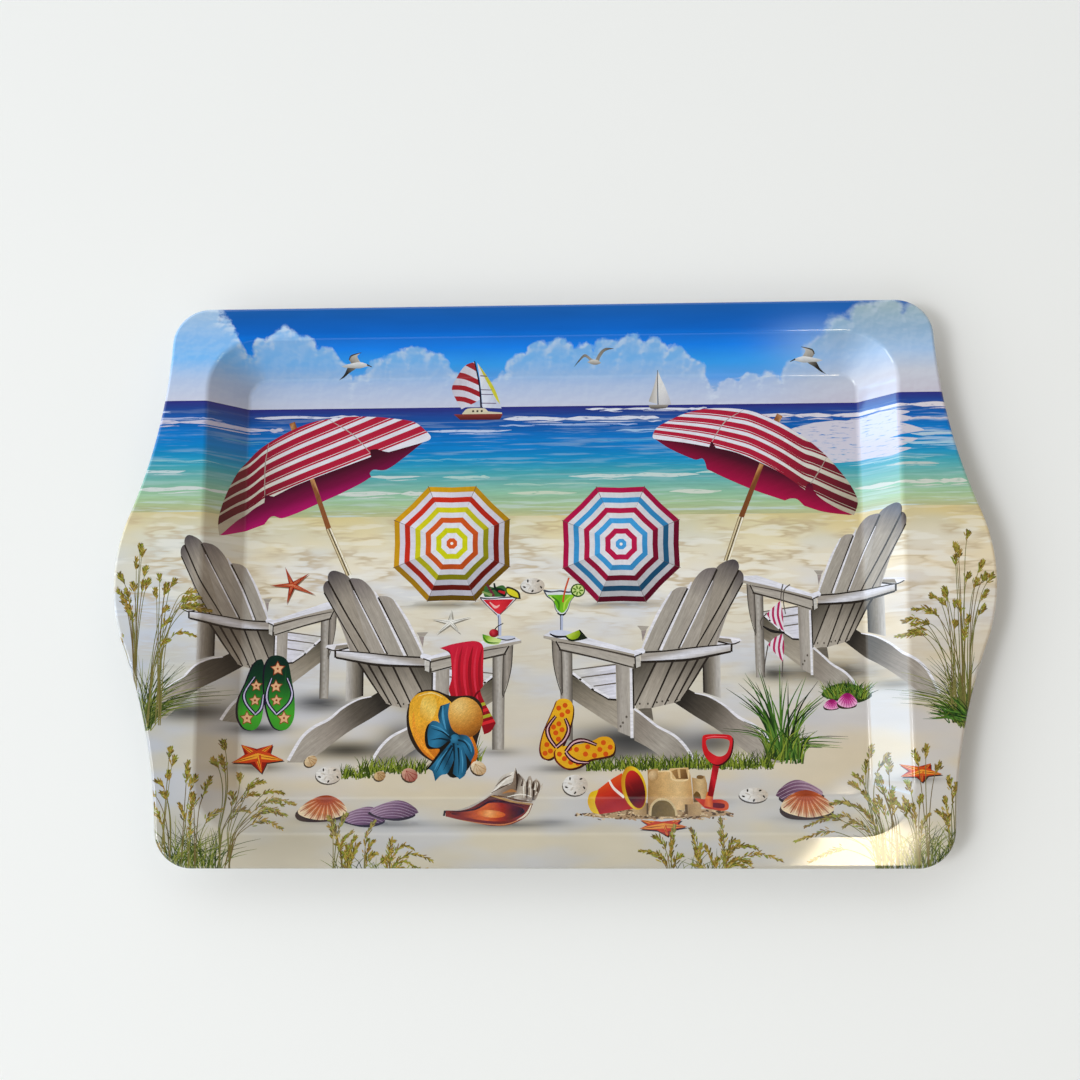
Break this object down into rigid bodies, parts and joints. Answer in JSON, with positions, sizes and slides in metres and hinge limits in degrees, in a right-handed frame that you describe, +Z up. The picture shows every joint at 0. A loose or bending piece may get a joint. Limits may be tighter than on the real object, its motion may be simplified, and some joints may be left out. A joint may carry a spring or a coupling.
{
  "type": "serving tray",
  "caption": "Rectangular printed tinplate serving tray with a flat well, sloped sides and a wide flange that swells into a lifting ear at each end, its edge rolled under.",
  "frame": {"origin": "centre of the underside of the well's floor, where the tray stands on a table", "axes": "+X along the long side, towards one ear; +Y across, towards the sky of the printed scene; +Z up, out of the well"},
  "size_m": [0.3902, 0.2512, 0.0169],
  "materials": {
    "tinplate": "satin",
    "print": "gloss"
  },
  "bodies": {
    "root": {"tray_pan": "tinplate", "print_film": "print"}
  },
  "joints": []
}
